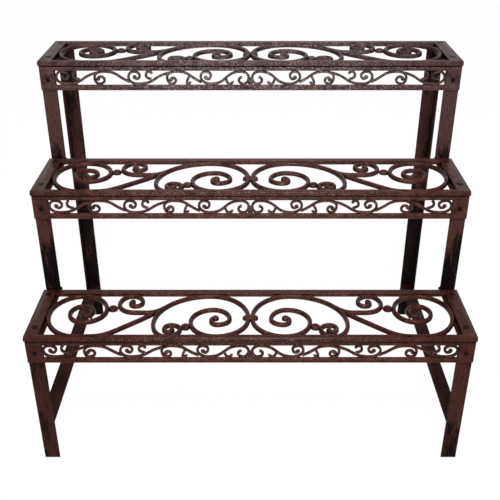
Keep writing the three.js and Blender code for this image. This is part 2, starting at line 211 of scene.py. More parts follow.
# Half of the apron vine, with y from its lowest centreline.
APRON_VINE = [
    ("middle curl and first wave", 3.4, [
        (13.5, 12, 0), (19.5, 6.5, 270), (11, 0, 180), (3, 11.5, 90), (15, 22, 0), (67, 0, 0),
        (83.5, 13, 90), (75, 22, 180), (66.5, 15.5, 270), (71, 8.5, 0), (75, 11, 70)]),
    ("second wave", 3.4, [
        (82, 3, 25), (125, 22, 0), (140, 12, 270), (133, 0, 180), (125.5, 5.5, 90), (130, 11, 0),
        (133.5, 7.5, 260)]),
    ("third wave", 3.4, [
        (132, 20.5, 350), (190, 0, 0), (205, 11.5, 90), (196, 22, 180), (186, 15.5, 270),
        (190.5, 9, 0), (194.5, 12, 80)]),
    ("fourth wave", 3.4, [
        (203, 3.5, 25), (247, 22, 0), (262, 11, 270), (255, 0, 180), (245.5, 6.5, 90), (251, 13, 0),
        (256, 9, 260)]),
    ("fifth wave", 3.4, [
        (254, 20.5, 350), (310, 0, 0), (326.5, 11, 90), (317, 22, 180), (306, 15.5, 270),
        (311, 8.5, 0), (315.5, 12, 80)]),
    ("first leaf", 0, [(41, 11.5, 270), (35, 0, 180), (29.5, 5, 90)]),
    ("second leaf", 0, [(103, 13, 300), (106.5, 0, 180), (101, 4, 90)]),
    ("third leaf", 0, [(166, 8, 20), (175.5, 15, 90), (170.5, 22, 180), (165.5, 18, 260)]),
    ("fourth leaf", 0, [(287, 7.5, 20), (297.5, 15, 90), (294, 22, 150)]),
]
MIDDLE_STEM = [(0, -1, 90), (0, 12.5, 90)]

# A rounded cast bar in section: share of the half width, and share of the height.
BAR_SECTION = [
    (-1.0, 0.0), (-1.0, 0.34), (-0.93, 0.6), (-0.72, 0.83), (-0.38, 0.97), (0.0, 1.0),
    (0.38, 0.97), (0.72, 0.83), (0.93, 0.6), (1.0, 0.34), (1.0, 0.0),
]
# A dome: the share of its height that is a straight side, and the angles of its round top in degrees.
DOME_SIDE = 0.35
DOME_ANGLES = (0, 18, 36, 54, 72)


# ---------------------------------------------------------------- mesh tools

def link_object(name, data):
    made = bpy.data.objects.new(name, data)
    bpy.context.collection.objects.link(made)
    return made


def new_object(name, bm):
    mesh = bpy.data.meshes.new(name)
    bm.to_mesh(mesh)
    bm.free()
    return link_object(name, mesh)


def bezier(a, b, c, d, t):
    s = 1 - t
    return a * s ** 3 + b * 3 * s * s * t + c * 3 * s * t * t + d * t ** 3


def centreline(points, place):
    """Evenly fine points through headed points: quarter ellipses at the turns, an S where none is made."""
    line = []
    for (x0, y0, h0), (x1, y1, h1) in zip(points, points[1:]):
        ways = [Vector((math.cos(math.radians(h)), math.sin(math.radians(h)))) for h in (h0, h1)]
        handles = [way * CURVE_KAPPA * (abs(way.x * (x1 - x0)) + abs(way.y * (y1 - y0))) for way in ways]
        start, end = Vector((x0, y0)), Vector((x1, y1))
        corners = [place(start), place(start + handles[0]), place(end - handles[1]), place(end)]
        length = sum((q - p).length for p, q in zip(corners, corners[1:]))
        count = max(LEAST_CURVE_STEPS, round(length / CURVE_STEP))
        first = 1 if line else 0
        line += [bezier(*corners, i / count) for i in range(first, count + 1)]
    return line


def join_rings(bm, rings):
    """Walls between rings of as many points each, and a flat cap on the first and on the last."""
    for ring, after in zip(rings, rings[1:]):
        for j in range(len(ring)):
            k = (j + 1) % len(ring)
            bm.faces.new((ring[j], ring[k], after[k], after[j]))
    bm.faces.new(tuple(reversed(rings[0])))
    bm.faces.new(tuple(rings[-1]))


def add_bar(bm, line, width, height):
    """A closed bar with a flat back on z = 0 and a round front, along a line in the plane."""
    rings = []
    for i, point in enumerate(line):
        ahead = line[min(i + 1, len(line) - 1)] - line[max(i - 1, 0)]
        across = Vector((-ahead.y, ahead.x)).normalized()
        ring = []
        for side, up in BAR_SECTION:
            spot = point + across * side * width / 2
            ring.append(bm.verts.new((spot.x, spot.y, up * height)))
        rings.append(ring)
    join_rings(bm, rings)


def add_turned(bm, profile, centre=(0, 0, 0), sides=EYE_SIDES, turn=Matrix.Identity(3)):
    """A closed body turned about z from (radius, height) pairs that start and end on the axis."""
    def place(x, y, z):
        return Vector(centre) + turn @ Vector((x, y, z))

    bottom = bm.verts.new(place(0, 0, profile[0][1]))
    top = bm.verts.new(place(0, 0, profile[-1][1]))
    angles = [2 * math.pi * i / sides for i in range(sides)]
    rings = []
    for radius, height in profile[1:-1]:
        spots = [place(radius * math.cos(a), radius * math.sin(a), height) for a in angles]
        rings.append([bm.verts.new(spot) for spot in spots])
    for i in range(sides):
        j = (i + 1) % sides
        bm.faces.new((bottom, rings[0][j], rings[0][i]))
        for ring, after in zip(rings, rings[1:]):
            bm.faces.new((ring[i], ring[j], after[j], after[i]))
        bm.faces.new((top, rings[-1][i], rings[-1][j]))


def dome(radius, height):
    """The profile of a button with a short straight side and a round top."""
    side = DOME_SIDE * height
    arc = [(radius * math.cos(a), side + (height - side) * math.sin(a))
           for a in (math.radians(degrees) for degrees in DOME_ANGLES)]
    return [(0, 0), (radius, 0)] + arc + [(0, height)]


def bore(radius, low, high):
    """The profile of a plain round hole."""
    return [(0, low), (radius, low), (radius, high), (0, high)]


def add_block(bm, low, high, rounding=0):
    """A box with rounded edges on its front, where z is high, and a flat back."""
    made = bmesh.ops.create_cube(bm, size=1.0)["verts"]
    size = Vector(high) - Vector(low)
    middle = (Vector(high) + Vector(low)) / 2
    for vert in made:
        vert.co = Vector((vert.co.x * size.x, vert.co.y * size.y, vert.co.z * size.z)) + middle
    if rounding:
        edges = list({edge for vert in made for edge in vert.link_edges
                      if all(abs(end.co.z - high[2]) < TOUCH for end in edge.verts)})
        round_edges(bm, edges, rounding, BLOCK_ROUND_STEPS)


def round_edges(bm, edges, radius, steps):
    bmesh.ops.bevel(bm, geom=edges, offset=radius, segments=steps, affect="EDGES", profile=0.5)


def solid(name, maker):
    """An object of its own from what the maker adds to an empty mesh."""
    bm = bmesh.new()
    maker(bm)
    bmesh.ops.recalc_face_normals(bm, faces=bm.faces)
    return new_object(name, bm)


def boolean(target, other, operation):
    modifier = target.modifiers.new("cut", "BOOLEAN")
    modifier.object = other
    modifier.operation = operation
    modifier.solver = "MANIFOLD"
    graph = bpy.context.evaluated_depsgraph_get()
    mesh = bpy.data.meshes.new_from_object(target.evaluated_get(graph))
    target.modifiers.clear()
    target.data = mesh
    bpy.data.objects.remove(other)


def union_of(makers, name):
    """One closed casting from bodies that are each made in a mesh of their own."""
    whole = solid(name, makers[0])
    for maker in makers[1:]:
        boolean(whole, solid("body", maker), "UNION")
    return whole


def cut_turned(target, profile, **values):
    boolean(target, solid("cutter", partial(add_turned, profile=profile, **values)), "DIFFERENCE")


def finish_mesh(mesh):
    """Smooth faces with the real edges kept sharp."""
    bm = bmesh.new()
    bm.from_mesh(mesh)
    bmesh.ops.remove_doubles(bm, verts=bm.verts, dist=MERGE)
    bmesh.ops.dissolve_degenerate(bm, edges=bm.edges, dist=MERGE)
    for face in bm.faces:
        face.smooth = True
    for edge in bm.edges:
        edge.smooth = not (len(edge.link_faces) == 2 and edge.calc_face_angle(0) > SHARP_ANGLE)
    bm.to_mesh(mesh)
    bm.free()


def place_copy(source, name, to_row, material, slot, *nodes):
    """A copy of a piece drawn in millimetres, set in the row frame in metres."""
    mesh = source.data.copy()
    mesh.transform(to_row @ Matrix.Scale(MM, 4))
    piece = link_object(name, mesh)
    mesh.materials.clear()
    mesh.materials.append(material)
    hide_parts(*nodes)
    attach(piece, BODY)


# ---------------------------------------------------------------- castings

def pattern_place(scrolls, sign, half, low, high):
    """Fits a pattern's own field to the opening: half wide to each side, and from low to high."""
    reach_x = max(point[0] for _, _, points in scrolls for point in points)
    reach_y = max(point[1] for _, _, points in scrolls for point in points)
    return lambda spot: Vector((sign * spot.x * half / reach_x, low + spot.y * (high - low) / reach_y))


def scroll_makers(scrolls, opening, width, height):
    """The bars of both halves of a pattern, each with the eye that it ends in."""
    makers = []
    for sign in (-1, 1):
        place = pattern_place(scrolls, sign, *opening)
        for _, eye, points in scrolls:
            line = centreline(points, place)
            makers.append(partial(add_bar, line=line, width=width, height=height))
            if eye:
                makers.append(button_maker(line[-1], eye, height + EYE_RISE))
    return makers


def button_maker(spot, radius, height):
    return partial(add_turned, profile=dome(radius, height), centre=(spot[0], spot[1], 0))


def add_rim(bm, length, depth):
    """The plain frame of a shelf, with a rounded nose along its front and its other edges eased."""
    rings = []
    for x, front, rear in ((length / 2, 0, depth), (length / 2 - END_RIM, FRONT_RIM, depth - REAR_RIM)):
        rings.append([(-x, front), (x, front), (x, rear), (-x, rear)])
    levels = []
    for z in (0, SHELF_THICKNESS):
        levels.append([[bm.verts.new((x, y, z)) for x, y in ring] for ring in rings])
    (low_out, low_in), (top_out, top_in) = levels
    for i in range(4):
        j = (i + 1) % 4
        for ring, after in ((low_out, low_in), (top_out, top_in), (low_out, top_out), (low_in, top_in)):
            bm.faces.new((ring[i], ring[j], after[j], after[i]))
    bmesh.ops.recalc_face_normals(bm, faces=bm.faces)
    real = [edge for edge in bm.edges if edge.calc_face_angle(0) > SHARP_ANGLE]
    under = [edge for edge in real if all(end.co.z < SHELF_THICKNESS / 2 for end in edge.verts)]
    upper = [edge for edge in real if all(end.co.z > SHELF_THICKNESS / 2 for end in edge.verts)]
    nose = [edge for edge in upper if all(abs(end.co.y) < TOUCH for end in edge.verts)]
    rest = [edge for edge in upper if edge not in nose]
    for edges, radius in ((under, RIM_UNDER), (nose, RIM_NOSE), (rest, RIM_ROUND)):
        round_edges(bm, [edge for edge in edges if edge.is_valid], radius, RIM_ROUND_STEPS)


def make_shelf_casting(length, depth):
    """Drawn with its underside on z = 0 and its front edge on y = 0."""
    reach = SHELF_BAR_WIDTH / 2 - BAR_BITE
    opening = (length / 2 - END_RIM - reach, FRONT_RIM, depth - REAR_RIM - reach)
    makers = [partial(add_rim, length=length, depth=depth)]
    makers += scroll_makers(SHELF_SCROLLS, opening, SHELF_BAR_WIDTH, SHELF_BAR_HEIGHT)
    for sign in (-1, 1):
        place = pattern_place(SHELF_SCROLLS, sign, *opening)
        for x, y, radius in SHELF_BEADS:
            makers.append(button_maker(place(Vector((x, y))), radius, SHELF_BAR_HEIGHT + BEAD_RISE))
    level = place(Vector((0, CLASP_LEVEL))).y
    makers.append(button_maker((0, level), CLASP_RADIUS, SHELF_THICKNESS))
    for sign in (-1, 1):
        makers.append(button_maker((sign * KNOB_OFFSET, level), KNOB_RADIUS, SHELF_THICKNESS - KNOB_DROP))
    casting = union_of(makers, "shelf_casting")
    screw_x, boss_x = length / 2 - SHELF_SCREW_INSET, length / 2 - BOSS_FROM_END
    screw_rows = (SHELF_SCREW_FRONT, depth - SHELF_SCREW_REAR)
    screws = [(sign * screw_x, y, SHELF_SCREW_ROOM) for sign in (-1, 1) for y in screw_rows]
    screws += [(sign * boss_x, FRONT_RIM / 2, RIM_SCREW_ROOM) for sign in (-1, 1)]
    for x, y, room in screws:
        cut_turned(casting, screw_recess(HEAD_RADIUS + room), centre=(x, y, 0))
    finish_mesh(casting.data)
    return casting


def screw_recess(radius):
    """The profile of a sunk screw's hole, with a flat recess round its head."""
    top = SHELF_THICKNESS
    floor = top - RECESS_DEPTH
    return [
        (0, -CUT_CLEAR), (SCREW_RADIUS + FIT, -CUT_CLEAR), (SCREW_RADIUS + FIT, top - HEAD_HEIGHT),
        (HEAD_RADIUS + FIT, floor), (radius - RECESS_SLOPE, floor), (radius, top), (radius, top + CUT_CLEAR),
        (0, top + CUT_CLEAR)]


def make_apron_casting(length, lug_top, screw_z):
    """Drawn flat with its back on z = 0 and its lower edge on y = 0. Its lugs take screws at screw_z."""
    half = length / 2
    plate_x = half - APRON_END_PLATE
    open_high = APRON_HEIGHT - APRON_TOP_BAR
    reach = APRON_BAR_WIDTH / 2 - BAR_BITE
    opening = (plate_x - reach, APRON_BOTTOM_BAR + reach, open_high - reach)
    face = APRON_THICKNESS

    def frame_bar(x0, x1, y0, y1, front, rounding, back=0):
        return partial(add_block, low=(x0, y0, back), high=(x1, y1, front), rounding=rounding)

    makers = [
        frame_bar(-half, half, open_high, APRON_HEIGHT, face, APRON_TOP_ROUND),
        frame_bar(-half, half, 0, APRON_BOTTOM_BAR, face - BOTTOM_GROUND_DROP, APRON_EDGE_ROUND),
        frame_bar(
            -half, half, BOTTOM_MOULDING_LOW, APRON_BOTTOM_BAR - BOTTOM_MOULDING_GAP, face, MOULDING_ROUND),
    ]
    for x0, x1 in ((-half, -plate_x), (plate_x, half)):
        makers.append(frame_bar(x0, x1, 0, APRON_HEIGHT, face - PLATE_GROUND_DROP, APRON_EDGE_ROUND))
    for x0, x1 in ((-plate_x - PLATE_MOULDING, -plate_x), (plate_x, plate_x + PLATE_MOULDING)):
        makers.append(frame_bar(
            x0, x1, PLATE_MOULDING_GAP, APRON_HEIGHT - PLATE_MOULDING_GAP, face, MOULDING_ROUND))
    makers += scroll_makers(APRON_VINE, opening, APRON_BAR_WIDTH, APRON_BAR_HEIGHT)
    stem = centreline(MIDDLE_STEM, pattern_place(APRON_VINE, 1, *opening))
    stem_height = APRON_BAR_HEIGHT - MIDDLE_STEM_DROP
    makers.append(partial(add_bar, line=stem, width=MIDDLE_STEM_WIDTH, height=stem_height))
    lug_x = half + APRON_INSET - BOSS_FROM_END
    for sign in (-1, 1):
        makers.append(frame_bar(
            sign * lug_x - LUG_WIDTH / 2, sign * lug_x + LUG_WIDTH / 2, open_high + LUG_RISE, lug_top,
            face - LUG_DROP, LUG_ROUND, -LUG_BACK))
    casting = union_of(makers, "apron_casting")

    bolt_x = half + APRON_INSET - FRAME_INSET - IRON_LEG / 2
    bolt_y = APRON_HEIGHT - APRON_BOLT_DROP
    screw_bore = bore(SCREW_RADIUS + FIT, lug_top - LUG_SCREW_DEPTH - FIT, lug_top + CUT_CLEAR)
    bolt_hole = bore(SCREW_RADIUS + FIT, -CUT_CLEAR, face + CUT_CLEAR)
    upward = Matrix.Rotation(-math.pi / 2, 3, "X")
    for sign in (-1, 1):
        cut_turned(casting, screw_bore, centre=(sign * lug_x, 0, screw_z), sides=BORE_SIDES, turn=upward)
        cut_turned(casting, bolt_hole, centre=(sign * bolt_x, bolt_y, 0), sides=BORE_SIDES)
    finish_mesh(casting.data)
    return casting


# ---------------------------------------------------------------- fasteners

def shank(length):
    """The profile of a shank below z = 0, from its chamfered tip upwards."""
    return [(0, -length), (SCREW_RADIUS - TIP_CHAMFER, -length), (SCREW_RADIUS, TIP_LENGTH - length)]


def make_sunk_screw(name, length):
    """A sunk screw with a crossed recess. Its head's rim is on z = 0."""
    r, head = SCREW_RADIUS, HEAD_RADIUS
    profile = shank(length) + [(r, -HEAD_HEIGHT), (head - 0.15, -0.3), (head, -0.16), (head - 0.25, -0.04),
                               (0.6 * head, 0), (0, 0)]
    piece = solid(name, partial(add_turned, profile=profile, sides=FASTENER_SIDES))
    for x, y in ((SLOT_LENGTH / 2, SLOT_WIDTH / 2), (SLOT_WIDTH / 2, SLOT_LENGTH / 2)):
        slot = partial(add_block, low=(-x, -y, -SLOT_DEPTH), high=(x, y, CUT_CLEAR))
        boolean(piece, solid("slot", slot), "DIFFERENCE")
    finish_mesh(piece.data)
    return piece


def make_button_bolt(name, length):
    """A bolt with a low round head that stands on z = 0, and a hexagon socket in it."""
    r, head, tall = SCREW_RADIUS, HEAD_RADIUS, HEAD_HEIGHT
    profile = shank(length) + [(r, 0), (head - 0.1, 0), (head, 0.25), (0.93 * head, 0.68 * tall),
                               (0.78 * head, 0.92 * tall), (0.6 * head, tall), (0, tall)]
    piece = solid(name, partial(add_turned, profile=profile, sides=FASTENER_SIDES))
    cut_turned(piece, bore(SOCKET_RADIUS, SOCKET_FLOOR, tall + CUT_CLEAR), sides=HEXAGON)
    finish_mesh(piece.data)
    return piece


def make_nut(name, across_corners, height):
    """A hexagon nut with turned-off corners, standing on z = 0."""
    radius = across_corners / 2
    flat = radius * math.cos(math.pi / HEXAGON)
    drum = [(0, 0), (flat, 0), (radius, NUT_CHAMFER), (radius, height - NUT_CHAMFER), (flat, height),
            (0, height)]
    piece = solid(name, partial(add_turned, profile=bore(radius, 0, height), sides=HEXAGON))
    boolean(piece, solid("drum", partial(add_turned, profile=drum, sides=DRUM_SIDES)), "INTERSECT")
    cut_turned(piece, bore(SCREW_RADIUS + NUT_BORE_PLAY, -CUT_CLEAR, height + CUT_CLEAR))
    finish_mesh(piece.data)
    return piece


# ---------------------------------------------------------------- finishes

def linear(r, g, b):
    """Scene colour from 0-255 screen colour."""
    out = []
    for value in (r / 255, g / 255, b / 255):
        out.append(value / 12.92 if value <= 0.04045 else ((value + 0.055) / 1.055) ** 2.4)
    return (*out, 1)


def darker(colour, share):
    return (*(share * value for value in colour[:3]), 1)


OCCLUSION_SAMPLES = 6
NOISE_MIDDLE = (0.3, 0.7)
SEAM_START = (0.02, 0.1)
SEAM_CORE = 0.7


class Finish:
    """A procedural paint, laid in coats over a first colour."""

    def __init__(self, name, first):
        self.material = bpy.data.materials.new(name)
        self.material.use_nodes = True
        self.tree = self.material.node_tree
        self.tree.nodes.clear()
        self.shader = self.node("ShaderNodeBsdfPrincipled")
        output = self.node("ShaderNodeOutputMaterial")
        self.tree.links.new(self.shader.outputs["BSDF"], output.inputs["Surface"])
        self.place = self.node("ShaderNodeTexCoord").outputs["Object"]
        self.facing = self.node("ShaderNodeTexCoord").outputs["Normal"]
        self.colour = first

    def node(self, kind, **values):
        made = self.tree.nodes.new(kind)
        for key, value in values.items():
            setattr(made, key, value)
        return made

    def feed(self, socket, value):
        """Links an output to a socket, or writes a plain number or colour into it."""
        if isinstance(value, bpy.types.NodeSocket):
            self.tree.links.new(value, socket)
        else:
            socket.default_value = value

    def maths(self, operation, *values):
        node = self.node("ShaderNodeMath", operation=operation)
        for socket, value in zip(node.inputs, values):
            self.feed(socket, value)
        return node.outputs[0]

    def spread(self, value, start, end, first, last, smooth=True):
        """The first value up to start, the last one from end on, and a change between the two."""
        node = self.node("ShaderNodeMapRange", interpolation_type="SMOOTHSTEP" if smooth else "LINEAR")
        names = ("Value", "From Min", "From Max", "To Min", "To Max")
        for name, given in zip(names, (value, start, end, first, last)):
            self.feed(node.inputs[name], given)
        return node.outputs["Result"]

    def noise(self, scale, detail, roughness, stretch=(1, 1, 1)):
        mapping = self.node("ShaderNodeMapping")
        self.feed(mapping.inputs["Vector"], self.place)
        self.feed(mapping.inputs["Scale"], stretch)
        noise = self.node("ShaderNodeTexNoise")
        names = ("Vector", "Scale", "Detail", "Roughness")
        for name, given in zip(names, (mapping.outputs["Vector"], scale, detail, roughness)):
            self.feed(noise.inputs[name], given)
        return noise.outputs["Fac"]

    def patches(self, low, high, **noise):
        """0 where a noise is under low, 1 where it is over high."""
        return self.spread(self.noise(**noise), low, high, 0, 1)

    def along(self, vector, axis):
        split = self.node("ShaderNodeSeparateXYZ")
        self.feed(split.inputs[0], vector)
        return split.outputs[axis]

    def reach(self, distance, near, far, inside):
        """1 where rays outwards, or inwards, soon meet another surface, 0 where they go far."""
        node = self.node("ShaderNodeAmbientOcclusion", samples=OCCLUSION_SAMPLES, inside=inside)
        node.inputs["Distance"].default_value = distance * MM
        return self.spread(node.outputs["AO"], near, far, 1, 0)

    def corners(self, distance, near, far):
        """1 in tight corners, 0 on open faces. The distance is in millimetres."""
        return self.reach(distance, near, far, False)

    def arrises(self, distance, near, far):
        """1 along outer edges, 0 on open faces. The distance is in millimetres."""
        return self.reach(distance, near, far, True)

    def sideways(self, low, high):
        """1 on faces turned to the left or right, 0 on the others."""
        return self.spread(self.maths("ABSOLUTE", self.along(self.facing, "X")), low, high, 0, 1)

    def middle(self, near, far, least):
        """1 at the middle of the stand, and the least share towards its ends, at distances in metres."""
        return self.spread(self.maths("ABSOLUTE", self.along(self.place, "X")), near, far, 1, least)

    def below(self, low, high):
        """1 under the low level, 0 over the high one, in metres from the floor."""
        return self.spread(self.along(self.place, "Z"), low, high, 1, 0)

    def seam(self, level, over, under):
        """1 close over and under the level where two castings meet, 0 on it and further off, in metres. It
        places the painted shade of the gap where the rim overhangs the apron.
        """
        z = self.along(self.place, "Z")
        start, full = (gap * MM for gap in SEAM_START)
        off_level = self.spread(self.maths("ABSOLUTE", self.maths("SUBTRACT", z, level)), start, full, 0, 1)
        centre = level + (over - under) / 2
        half = (over + under) / 2
        away = self.maths("ABSOLUTE", self.maths("SUBTRACT", z, centre))
        return self.maths("MULTIPLY", off_level, self.spread(away, SEAM_CORE * half, half, 1, 0))

    def coat(self, paint, share, strength=1):
        """Lays a paint over what is there, as thick as its share says."""
        node = self.node("ShaderNodeMix", data_type="RGBA")
        self.feed(node.inputs["Factor"], share if strength == 1 else self.maths("MULTIPLY", share, strength))
        self.feed(node.inputs[6], self.colour)
        self.feed(node.inputs[7], paint)
        self.colour = node.outputs[2]

    def bump(self, strength, distance, **noise):
        """Raised grain. The distance is in millimetres."""
        node = self.node("ShaderNodeBump")
        self.feed(node.inputs["Strength"], strength)
        self.feed(node.inputs["Distance"], distance * MM)
        self.feed(node.inputs["Height"], self.noise(**noise))
        self.feed(self.shader.inputs["Normal"], node.outputs["Normal"])

    def uneven(self, low, high, **noise):
        """A roughness between low and high, which follows the middle of a noise."""
        return self.spread(self.noise(**noise), *NOISE_MIDDLE, low, high, smooth=False)

    def done(self, roughness, specular):
        self.feed(self.shader.inputs["Base Color"], self.colour)
        self.feed(self.shader.inputs["Roughness"], roughness)
        self.feed(self.shader.inputs["Specular IOR Level"], specular)
        return self.material


def painted_casting(name, base, rubbed_and_highlight, rubbed_and_highlight_share, shine, seam):
    """Mottled brown paint on a sand casting, with painted shade in corners, seam and side faces, and rubbed
    grey, partly painted highlight.
    """
    deep = darker(base, 0.22)
    finish = Finish(name, darker(base, 0.42))
    finish.coat(base, finish.patches(0.36, 0.66, scale=52, detail=5, roughness=0.7))
    # Painted light: the rubbed grey fades towards the ends of the stand, as the key light falls on its
    # middle.
    lit_middle = finish.middle(0.12, 0.34, 0.18)
    # Rubbed grey on the edges: partly wear, partly a painted highlight on the rounded noses and bar tops.
    edges = finish.maths("MULTIPLY", finish.arrises(2.0, 0.35, 0.85),
                         finish.patches(0.3, 0.56, scale=150, detail=4, roughness=0.7))
    finish.coat(rubbed_and_highlight, finish.maths("MULTIPLY", edges, lit_middle), 0.95)
    # Rubbed grey on the high grain: partly wear, partly a painted sheen, strongest on the top tier.
    grain_wear_and_highlight = finish.patches(0.48, 0.68, scale=380, detail=4, roughness=0.8)
    finish.coat(rubbed_and_highlight, finish.maths("MULTIPLY", grain_wear_and_highlight, lit_middle), rubbed_and_highlight_share)
    finish.coat(deep, finish.patches(0.54, 0.66, scale=560, detail=3, roughness=0.6), 0.7)
    finish.coat(deep, finish.patches(0.52, 0.66, scale=95, detail=5, roughness=0.7), 0.6)
    # Painted shade: the faces of the bars turned to the left or right are darker.
    finish.coat(deep, finish.sideways(0.35, 0.85), 0.75)
    # Painted shade: near-black in the tight corners, where little light reaches.
    finish.coat(SHADE_BLACK, finish.corners(5.5, 0.35, 0.8))
    # Painted shade: a dark line in the gap where the rim of the shelf overhangs the apron.
    finish.coat(SHADE_BLACK, finish.seam(*seam), 0.92)
    finish.bump(0.3, 0.4, scale=700, detail=4, roughness=0.65)
    finish.shader.inputs["Specular Tint"].default_value = (1, 0.7, 0.68, 1)
    return finish.done(finish.uneven(0.2, 0.36, scale=260, detail=3, roughness=0.6), shine)


def painted_iron(name, base, dark, patches, stretch, shaded=None):
    """Painted mill steel with black patches drawn out along the bar, and painted shade: more patches low
    down, dark corners and side faces.
    """
    finish = Finish(name, base)
    fine = finish.patches(0.42, 0.66, scale=420, detail=4, roughness=0.75, stretch=stretch)
    finish.coat(darker(base, 0.4), fine, 0.65)
    black = finish.noise(scale=55, detail=6, roughness=0.7, stretch=stretch)
    # Painted shade: more black patches below the given heights.
    if shaded:
        black = finish.maths("ADD", black, finish.maths("MULTIPLY", finish.below(*shaded), 0.18))
    finish.coat(dark, finish.spread(black, *patches, 0, 1))
    finish.coat(dark, finish.patches(0.55, 0.7, scale=420, detail=3, roughness=0.7), 0.6)
    finish.coat(dark, finish.arrises(1.4, 0.4, 0.8), 0.6)
    # Painted shade on the faces turned to the left or right, and in the corners.
    finish.coat(dark, finish.sideways(0.4, 0.85), 0.5)
    finish.coat(dark, finish.corners(4.0, 0.25, 0.7))
    finish.bump(0.5, 0.6, scale=560, detail=4, roughness=0.65)
    return finish.done(finish.uneven(0.42, 0.6, scale=180, detail=3, roughness=0.6), 0.03)


def fastener_paint(name, base, worn, roughness):
    """Painted over with the stand, worn to dark steel at the grain, with painted shade in its corners."""
    finish = Finish(name, base)
    finish.coat(worn, finish.patches(0.42, 0.66, scale=900, detail=3, roughness=0.6))
    # Painted shade: near-black in the corners of the slots, socket and nut.
    finish.coat(linear(3, 2, 2), finish.corners(2.0, 0.35, 0.85))
    finish.bump(0.3, 0.4, scale=900, detail=3, roughness=0.6)
    return finish.done(roughness, 0.06)


# The near-black of the painted shade in the corners and in the seam of the castings.
SHADE_BLACK = linear(4, 2, 2)
BLACK = linear(10, 5, 5)
UPRIGHT = (1.0, 1.0, 0.2)
FRONT_TO_REAR = (1.0, 0.2, 1.0)

# For each tier: the paint, the rubbed grey (partly wear, partly painted highlight) and how much of it, its
# shine, and how far the painted shade of the seam between shelf and apron reaches down. The tiers are lit and
# shaded
# copies of one paint: the top one paler and greyer, with more rubbed grey, as a painted reflection, and the
# bottom one darker as painted shade.
CASTING_PAINTS = {
    "bottom": (linear(58, 26, 21), linear(150, 113, 108), 0.38, 0.09, 3.4),
    "middle": (linear(66, 36, 32), linear(153, 122, 120), 0.42, 0.06, 2.2),
    "top": (linear(69, 49, 47), linear(178, 164, 166), 0.62, 0.02, 1.8),
}
SEAM_OVER = 1.0

# Paints of the angle iron, with the noise levels between which its black patches grow, and the heights
# in metres between which more of them set in as painted shade.
LEG_PAINT = painted_iron("iron_leg", linear(55, 29, 25), BLACK, (0.5, 0.66), UPRIGHT, (-0.02, 0.05))
DARK_LEG_PAINT = painted_iron("iron_dark_leg", linear(48, 26, 22), BLACK, (0.42, 0.62), UPRIGHT)
MIDDLE_PAINT = painted_iron(
    "iron_middle_post", linear(62, 35, 31), BLACK, (0.46, 0.62), UPRIGHT, (0.27, 0.38))
UPPER_PAINT = painted_iron(
    "iron_upper_post", linear(62, 44, 42), BLACK, (0.6, 0.76), UPRIGHT, (0.44, 0.5))
REAR_PAINT = painted_iron(
    "iron_rear_leg", linear(63, 40, 37), linear(20, 13, 12), (0.49, 0.64), UPRIGHT, (0.22, 0.36))
RAIL_PAINT = painted_iron("iron_rail", linear(45, 23, 19), BLACK, (0.52, 0.7), FRONT_TO_REAR)
SCREW_PAINT = fastener_paint("fastener_screw", linear(32, 16, 14), linear(14, 9, 8), 0.5)
BOLT_PAINT = fastener_paint("fastener_bolt", linear(14, 9, 9), linear(7, 5, 5), 0.3)


# ---------------------------------------------------------------- castings and fasteners in their places

def size_of(node):
    low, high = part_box(node)
    return (high - low) / MM


shelf_low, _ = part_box("bottom_shelf")
apron_low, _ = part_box("bottom_apron")
rim_screw_back = (apron_low.y - shelf_low.y) / MM + APRON_THICKNESS - FRONT_RIM / 2
shelf_size = size_of("bottom_shelf")
apron_size = size_of("bottom_apron")
shelf_casting = make_shelf_casting(shelf_size.x, shelf_size.y)
apron_casting = make_apron_casting(apron_size.x, apron_size.z, rim_screw_back)

STAND_UP = Matrix.Rotation(math.radians(90), 4, "X")
for tier in TIERS:
    base, rubbed_and_highlight, rubbed_and_highlight_share, shine, seam_under = CASTING_PAINTS[tier]
    low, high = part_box(f"{tier}_shelf")
    paint = painted_casting(
        f"casting_{tier}", base, rubbed_and_highlight, rubbed_and_highlight_share, shine, (low.z, SEAM_OVER * MM, seam_under * MM))
    centre = (low.x + high.x) / 2
    place_copy(shelf_casting, f"{tier}_shelf_casting", Matrix.Translation((centre, low.y, low.z)),
               paint, "casting", f"{tier}_shelf")
    low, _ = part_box(f"{tier}_apron")
    to_row = Matrix.Translation((centre, low.y + APRON_THICKNESS * MM, low.z)) @ STAND_UP
    place_copy(apron_casting, f"{tier}_apron_casting", to_row, paint, "casting", f"{tier}_apron")

shelf_screw = make_sunk_screw("shelf_screw", size_of("bottom_left_front_shelf_screw").z)
nut_size = size_of("bottom_left_apron_nut")
FASTENERS = {
    "front_shelf_screw": shelf_screw,
    "rear_shelf_screw": shelf_screw,
    "rim_screw": make_sunk_screw("rim_screw", size_of("bottom_left_rim_screw").z),
    "apron_bolt": make_button_bolt("apron_bolt", size_of("bottom_left_apron_bolt").y - HEAD_HEIGHT),
    "apron_nut": make_nut("apron_nut", nut_size.x, nut_size.y),
}
random.seed(4)
for tier in TIERS:
    for side, _ in SIDES:
        for kind, source in FASTENERS.items():
            node = f"{tier}_{side}_{kind}"
            low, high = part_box(node)
            middle = (low + high) / 2
            turn = Matrix.Rotation(random.uniform(0, math.pi), 4, "Z")
            if kind.endswith("screw"):
                to_row = Matrix.Translation((middle.x, middle.y, high.z)) @ turn
            elif kind == "apron_bolt":
                to_row = Matrix.Translation((middle.x, low.y + HEAD_HEIGHT * MM, middle.z)) @ STAND_UP @ turn
            else:
                to_row = Matrix.Translation((middle.x, high.y, middle.z)) @ STAND_UP
            paint = SCREW_PAINT if kind.endswith("screw") else BOLT_PAINT
            place_copy(source, f"{node}_detail", to_row, paint, "fastener", node)
for source in {shelf_casting, apron_casting, *FASTENERS.values()}:
    bpy.data.objects.remove(source)


# ---------------------------------------------------------------- angle iron

